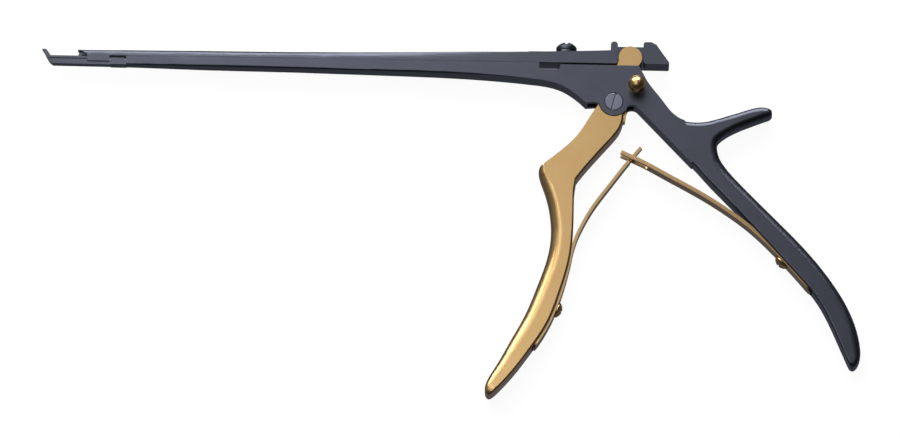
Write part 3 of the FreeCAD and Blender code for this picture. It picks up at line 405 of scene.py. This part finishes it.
# %% [markdown]
# ## The slide's bar
#
# Toward the tip the sliding bar has to be slim, so its sides lean in over the upper half and
# reflect more of the light behind the table. The solid has no vertices there to move. Four flat
# cuts along the bar lay them in, and then each vertex is drawn in by its height. The sharp upper
# corner of the rear block is rounded in the same step.

# %% Lean the bar's sides in toward the tip
BAR_FRONT, BAR_REAR, BAR_FLOOR = -187.0, -28.0, 14.2
BOW_START, BOW_RUN, BOW = -35, 80, 0.34
MIDDLE = THICK / 2000
BLOCK_CORNER = Vector((0.0139, 0.02195))


def bar_top(x):
    return 16.35 + 1.5 * max(0.0, (x - BAR_FRONT) / (BAR_REAR - BAR_FRONT)) ** 1.6


def slim_top(shape):
    """Bow the bar's sides: toward the tip the upper half leans in more and more."""
    for share in (0.3, 0.5, 0.68, 0.84):
        low, high = BAR_FLOOR + share * 2.2, BAR_FLOOR + share * 3.5
        slope = Vector(((BAR_REAR - BAR_FRONT) / 1000, (high - low) / 1000, 0))
        everything = shape.verts[:] + shape.edges[:] + shape.faces[:]
        bmesh.ops.bisect_plane(shape, geom=everything, dist=1e-7, plane_co=(BAR_FRONT / 1000, low / 1000, 0),
                               plane_no=(-slope.y, slope.x, 0))
    for vert in shape.verts:
        x, y = vert.co.x * 1000, vert.co.y * 1000
        reach = min(1.0, max(0.0, (BOW_START - x) / BOW_RUN))
        height = min(1.0, max(0.0, (y - BAR_FLOOR) / (bar_top(x) - BAR_FLOOR)))
        vert.co.z = MIDDLE + (vert.co.z - MIDDLE) * (1 - BOW * reach * height ** 2)
    heel = [edge for edge in shape.edges if all((vert.co.xy - BLOCK_CORNER).length < 2e-5 for vert in edge.verts)]
    bmesh.ops.bevel(shape, geom=heel, offset=0.001, segments=5, profile=0.5, affect="EDGES")


print("the bar is drawn in by", round(100 * BOW), "% at its top edge near the tip")

# %% [markdown]
# ## Dressing the solids
#
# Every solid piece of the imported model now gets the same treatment: a copy is merged into clean
# faces, reshaped where the real piece is softer, and its edges are broken. The copy then stands
# for the solid and rides on the same moving body. Small turned parts get a finer edge than the
# forgings.

# %% Dress every solid piece
MERGE, SAME_PLANE = 2e-6, math.radians(0.2)


def dressed(name, body, material, break_mm, soften=None, reshape=None):
    mesh = nodes[name].data.copy()
    shape = bmesh.new()
    shape.from_mesh(mesh)
    bmesh.ops.remove_doubles(shape, verts=shape.verts, dist=MERGE)
    if reshape:
        reshape(shape)
    if soften:
        shape.to_mesh(mesh)
        shape.clear()
        shape.from_mesh(soften(mesh))
    bmesh.ops.dissolve_limit(shape, angle_limit=SAME_PLANE, verts=shape.verts, edges=shape.edges)
    shape.to_mesh(mesh)
    shape.free()
    piece = crisp(add_piece(name + "_finished", mesh, material), break_mm)
    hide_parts(name)
    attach(piece, body)
    print(name, "has", len(piece.data.polygons), "faces")


dressed("fixed_shaft", "frame", black_film, 0.15, soften=soft_web)
dressed("slide", "slide", black_film, 0.16, reshape=slim_top)
dressed("front_handle", "handle", gold_film, 0.15, soften=soft_fingers)
dressed("pivot_screw", "frame", black_turned, 0.08)
dressed("guide_screw", "slide", black_film, 0.1)
dressed("guide_block", "slide", black_film, 0.08)
dressed("lock_plug", "frame", black_film, 0.06)
dressed("lock_knob", "lock", gold_film, 0.06)
dressed("lock_pin", "lock", gold_film, 0.06)
dressed("front_spring_screw", "handle", gold_film, 0.08)
dressed("rear_spring_screw", "frame", gold_film, 0.08)

# %% [markdown]
# ## Leaf springs
#
# Each leaf is blanked from a flat strip of spring steel, bent over a former and hardened.
# It is made the same way here: a flat pattern, laid row by row along the bent middle line, is
# given its thickness by a Solidify modifier and then its broken edges. The pattern has the
# outline in it, so the leaf needs no cutting afterwards.

# %% Blank, bend and thicken the leaves
REAR_LINE = [(70.2, -67.6), (63.6, -60.0), (56.0, -51.8), (48.2, -44.5), (40.0, -38.4), (31.0, -32.7),
             (20.0, -26.65), (11.0, -21.75), (2.8, -18.0)]
FRONT_LINE = [(-27.0, -90.2), (-23.6, -84.8), (-20.6, -78.8), (-18.0, -71.6), (-16.2, -65.3), (-14.7, -58.9),
              (-13.5, -53.0), (-11.4, -47.0), (-6.9, -38.4), (0.0, -28.6), (4.9, -21.9), (9.7, -15.8)]
HALF_WIDTH, CORNER, ROWS = 2.8, 2.2, 72


def leaf(name, line, thick, half_at, gap_at, marks):
    """Lay rows of seven points along the line, leave out the faces in the gaps, and thicken the rest."""
    dense, lengths = bent_line(line, 0.35)
    total = lengths[-1]
    even_rows = {total * number / ROWS for number in range(4, ROWS)}
    rows = sorted({0.0, 0.1, 0.3, 0.7, 1.3, CORNER, total} | even_rows | set(marks(total)))
    shape = bmesh.new()
    made = []
    for distance in rows:
        place, left = on_line(dense, lengths, distance)
        half = half_at(distance, total)
        if distance < CORNER:
            half -= CORNER - math.sqrt(CORNER ** 2 - (CORNER - distance) ** 2)
        slot, solid = gap_at(distance, total)
        inner = min(slot, half * 0.8)
        across = [-half, -(half + inner) / 2, -inner, 0.0, inner, (half + inner) / 2, half]
        made.append(([shape.verts.new((place.x / 1000, place.y / 1000, (4.0 + z) / 1000)) for z in across], solid))
    for (row, solid), (next_row, next_solid) in zip(made, made[1:]):
        kind = {solid, next_solid}
        columns = range(6)
        if "fork" in kind:
            columns = (0, 1, 4, 5)
        elif kind == {"tongue"}:
            columns = (2, 3)
        for column in columns:
            shape.faces.new((row[column], row[column + 1], next_row[column + 1], next_row[column]))
    bmesh.ops.delete(shape, geom=[vert for vert in shape.verts if not vert.link_faces], context="VERTS")
    bmesh.ops.recalc_face_normals(shape, faces=shape.faces)
    mesh = bpy.data.meshes.new(name + "_bent")
    shape.to_mesh(mesh)
    shape.free()
    piece = add_piece(name + "_bent", mesh, gold_leaf)
    sheet = piece.modifiers.new("thickness", "SOLIDIFY")
    sheet.thickness = thick / 1000
    sheet.offset = 0
    crisp(piece, 0.14)
    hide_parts(name)
    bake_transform(piece)
    print(name, "is", round(total, 1), "mm long and has", len(piece.data.polygons), "faces")


print("the leaves are", 2 * HALF_WIDTH, "mm wide at their screws")

# %% [markdown]
# ## Fork and tongue
#
# The two leaves lock into each other without a screw: the rear one ends in a fork, and the
# front one in a narrow tongue that stands in it. Each leaf says here how wide it is and how
# wide its gap is at any distance along it, so that one function can lay out both.

# %% Lay out the forked leaf and the tongued leaf
FORK_LENGTH, FORK_HALF = 11.0, 1.5
TONGUE_LENGTH, TONGUE_HALF, NECK_HALF = 6.7, 1.2, 2.0
TAPER_LENGTH, SHOULDER_RUN = 51.0, 4.2


def fork_gap(distance, total):
    reach = distance - (total - FORK_LENGTH)
    if reach <= 0:
        return 1.0, "whole"
    if reach < FORK_HALF:
        return math.sqrt(max(0.0, FORK_HALF ** 2 - (FORK_HALF - reach) ** 2)), "fork"
    return FORK_HALF, "fork"


def fork_marks(total):
    return [total - FORK_LENGTH + FORK_HALF * (1 - math.cos(math.radians(a))) for a in (0.5, 20, 45, 65, 90)]


def tongue_half(distance, total):
    taper_start, shoulder = total - TAPER_LENGTH, total - TONGUE_LENGTH
    share = min(1.0, max(0.0, (distance - taper_start) / (shoulder - SHOULDER_RUN - taper_start)))
    return HALF_WIDTH + (NECK_HALF - HALF_WIDTH) * share


def tongue_gap(distance, total):
    return TONGUE_HALF, "tongue" if distance >= total - TONGUE_LENGTH else "whole"


leaf("rear_spring", REAR_LINE, 1.3, lambda distance, total: HALF_WIDTH, fork_gap, fork_marks)
leaf("front_spring", FRONT_LINE, 1.1, tongue_half, tongue_gap, lambda total: [total - TONGUE_LENGTH])

# %% [markdown]
# ## The lock's coil spring
#
# Under the gold ball a small coil spring pushes the lock's pin up. A coil is a rule, not a shape
# to be drawn by hand: so many turns, so wide, so high. Geometry Nodes grow it from those
# numbers and give it the wire's round section.

# %% Grow the coil with Geometry Nodes
COIL_RADIUS, COIL_HEIGHT, WIRE_RADIUS = 0.001275, 0.00295, 0.000175
LOCK_X, LOCK_Y, COIL_FOOT = 0.0079, 0.005, 0.0011
coil = bpy.data.node_groups.new("Coil_spring", "GeometryNodeTree")
coil_sizes = {"Turns": 3.5, "Radius": COIL_RADIUS, "Height": COIL_HEIGHT, "Wire radius": WIRE_RADIUS}
for name, value in coil_sizes.items():
    coil.interface.new_socket(name, in_out="INPUT", socket_type="NodeSocketFloat").default_value = value
coil.interface.new_socket("Geometry", in_out="OUTPUT", socket_type="NodeSocketGeometry")
given = add(coil, "NodeGroupInput")
path = add(coil, "GeometryNodeCurveSpiral", values={"Resolution": 28},
           links={"Rotations": given.outputs["Turns"], "Start Radius": given.outputs["Radius"],
                  "End Radius": given.outputs["Radius"], "Height": given.outputs["Height"]})
ring = add(coil, "GeometryNodeCurvePrimitiveCircle", values={"Resolution": 12},
           links={"Radius": given.outputs["Wire radius"]})
tube = add(coil, "GeometryNodeCurveToMesh", values={"Fill Caps": True},
           links={"Curve": path.outputs["Curve"], "Profile Curve": ring.outputs["Curve"]})
real = add(coil, "GeometryNodeRealizeInstances", links={"Geometry": tube.outputs["Mesh"]})
clad = add(coil, "GeometryNodeSetMaterial", values={"Material": wire_steel},
           links={"Geometry": real.outputs["Geometry"]})
add(coil, "NodeGroupOutput", links={"Geometry": clad.outputs["Geometry"]})
print("the coil's rule has", len(coil.nodes), "nodes")

# %% [markdown]
# ## The coil as a plain mesh
#
# The rule is run once and its result kept as a plain mesh, since a modifier would not be
# carried over to the finished model. The mesh is then set at its place under the ball.

# %% Run the rule and put the coil in its place
grower = bpy.data.objects.new("lock_spring_grower", bpy.data.meshes.new("lock_spring_grower"))
scene.collection.objects.link(grower)
grower.modifiers.new("coil", "NODES").node_group = coil
bpy.context.view_layer.update()
coil_mesh = bpy.data.meshes.new_from_object(grower.evaluated_get(bpy.context.evaluated_depsgraph_get()))
bpy.data.objects.remove(grower)
wire_low, wire_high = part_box("lock_spring")
middle = (wire_low + wire_high) / 2
coil_mesh.transform(Matrix.Translation((LOCK_X, LOCK_Y, middle.z - COIL_HEIGHT / 2)))
coil_mesh.shade_smooth()
coil_piece = bpy.data.objects.new("lock_spring_coil", coil_mesh)
scene.collection.objects.link(coil_piece)
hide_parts("lock_spring")
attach(coil_piece, "frame")
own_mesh(coil_piece)
print("coil has", len(coil_mesh.polygons), "faces")

# %% [markdown]
# ## The table
#
# The instrument lies on a white table whose surface is lost in white, with only a soft shadow
# under it. A photographer lights the table until it is as white as the paper behind it. The same
# is done here by a mix: the camera sees mostly a plain white glow, and a little of the matt
# surface, which carries the shadow. The steel sees a mid grey instead, as it would in a room, so
# that its undersides and the walls that face down turn dark.

# %% Lay the white table
table_finish, tree = new_material("White_laminate_table")
rays = add(tree, "ShaderNodeLightPath")
diffuse = add(tree, "ShaderNodeBsdfDiffuse", values={"Color": colour("#f0f0f0")})
glow = add(tree, "ShaderNodeEmission", values={"Color": (1, 1, 1, 1), "Strength": 1.07})
share = add(tree, "ShaderNodeMath", {"operation": "MULTIPLY"}, {1: 0.88}, {0: rays.outputs["Is Camera Ray"]})
blend = add(tree, "ShaderNodeMixShader", links={"Fac": share.outputs["Value"], 1: diffuse.outputs["BSDF"],
                                                2: glow.outputs["Emission"]})
dusk = add(tree, "ShaderNodeEmission", values={"Color": colour("#686a74"), "Strength": 1.0})
seen = add(tree, "ShaderNodeMixShader", links={"Fac": rays.outputs["Is Glossy Ray"], 1: blend.outputs["Shader"],
                                               2: dusk.outputs["Emission"]})
add(tree, "ShaderNodeOutputMaterial", links={"Surface": seen.outputs["Shader"]})
table_mesh = bpy.data.meshes.new("table")
reach, drop = 3.0, -0.0002
corners = [(-reach, -reach, drop), (reach, -reach, drop), (reach, reach, drop), (-reach, reach, drop)]
table_mesh.from_pydata(corners, [], [(0, 1, 2, 3)])
table_mesh.materials.append(table_finish)
table = bpy.data.objects.new("table", table_mesh)
scene.collection.objects.link(table)
print("the table is", 2 * reach, "m wide")

# %% [markdown]
# ## Light
#
# Satin metal shows its surroundings, so the surroundings are what is lit. A soft grey dome that
# is lighter at the back left and dark toward the viewer gives the flats their tone and draws dark
# lines where an edge turns away. Only the camera sees it as white.

# %% Hang the soft dome
world = bpy.data.worlds.new("studio")
scene.world = world
world.use_nodes = True
tree = world.node_tree
tree.nodes.clear()
place = add(tree, "ShaderNodeTexCoord")
facing = add(tree, "ShaderNodeVectorMath", {"operation": "DOT_PRODUCT"}, {1: (-0.45, 0.75, 0.45)},
             {0: place.outputs["Generated"]})
dome = add(tree, "ShaderNodeValToRGB", links={"Fac": facing.outputs["Value"]})
dome.color_ramp.elements[0].position = 0.0
dome.color_ramp.elements[0].color = (0.04, 0.04, 0.045, 1)
dome.color_ramp.elements[1].position = 0.9
dome.color_ramp.elements[1].color = (0.3, 0.305, 0.32, 1)
rays = add(tree, "ShaderNodeLightPath")
shown = add(tree, "ShaderNodeMix", {"data_type": "RGBA"}, {"B": (1, 1, 1, 1)},
            {"Factor": rays.outputs["Is Camera Ray"], "A": dome.outputs["Color"]})
sky = add(tree, "ShaderNodeBackground", links={"Color": shown.outputs["Result"]})
add(tree, "ShaderNodeOutputWorld", links={"Surface": sky.outputs["Background"]})
print("the dome has", len(tree.nodes), "nodes")

# %% [markdown]
# ## Three lamps
#
# Each lamp is put where one kind of face mirrors it into the camera. A wide dim card overhead
# lies in the mirror direction of the flats. As it ends to the right of the pivot, the rear
# handle comes out darker than the shaft. A large softbox far behind lights all that leans away
# from the viewer, such as the round tops. A narrow strip gives the finger grip its bright crest.

# %% Place the lamps

def softbox(name, place, target, width, depth, power):
    lamp = bpy.data.lights.new(name, "AREA")
    lamp.shape = "RECTANGLE"
    lamp.size = width
    lamp.size_y = depth
    lamp.energy = power
    holder = bpy.data.objects.new(name, lamp)
    aim = (Vector(place) - Vector(target)).normalized()
    holder.matrix_world = Matrix.Translation(place) @ aim.to_track_quat("Z", "Y").to_matrix().to_4x4()
    holder.visible_camera = False
    scene.collection.objects.link(holder)


softbox("overhead_card", (-0.1475, 0.03, 0.45), (-0.1475, 0.03, 0), 0.365, 0.46, 0.38)
softbox("back_softbox", (-0.25, 0.95, 0.52), (-0.08, 0, 0), 1.6, 1.0, 22)
softbox("crest_strip", (-0.125, 0.075, 0.44), (-0.03, -0.06, 0), 0.025, 0.4, 0.085)
print("lamps:", len(bpy.data.lights))

# %% [markdown]
# ## Camera
#
# The photograph shows next to no perspective. It looks at the flat sides from 17 degrees below
# their normal, and is turned by about one degree. So the camera stands far off with a long lens.
# It stands no further than 6.5 m, as a longer lens would put the views from other sides beyond
# the distance at which they are cut off.

# %% Place the camera
TILT = math.radians(17)
ROLL = math.radians(1.1)
DISTANCE = 6.5
VIEW_WIDTH = 0.3141
centre = Vector((-0.05654, -0.04417, 0.008))
upward = Vector((0, math.cos(TILT), math.sin(TILT)))
right = Vector((1, 0, 0)) * math.cos(ROLL) + upward * math.sin(ROLL)
up = upward * math.cos(ROLL) - Vector((1, 0, 0)) * math.sin(ROLL)
back = right.cross(up)
lens = bpy.data.cameras.new("camera")
lens.sensor_width = 36
lens.lens = 36 * DISTANCE / VIEW_WIDTH
lens.clip_end = 30
camera = bpy.data.objects.new("camera", lens)
turn = Matrix((right, up, back)).transposed().to_4x4()
camera.matrix_world = Matrix.Translation(centre + back * DISTANCE) @ turn
scene.collection.objects.link(camera)
scene.camera = camera
scene.view_settings.view_transform = "Standard"
print("the lens is", round(lens.lens), "mm long")
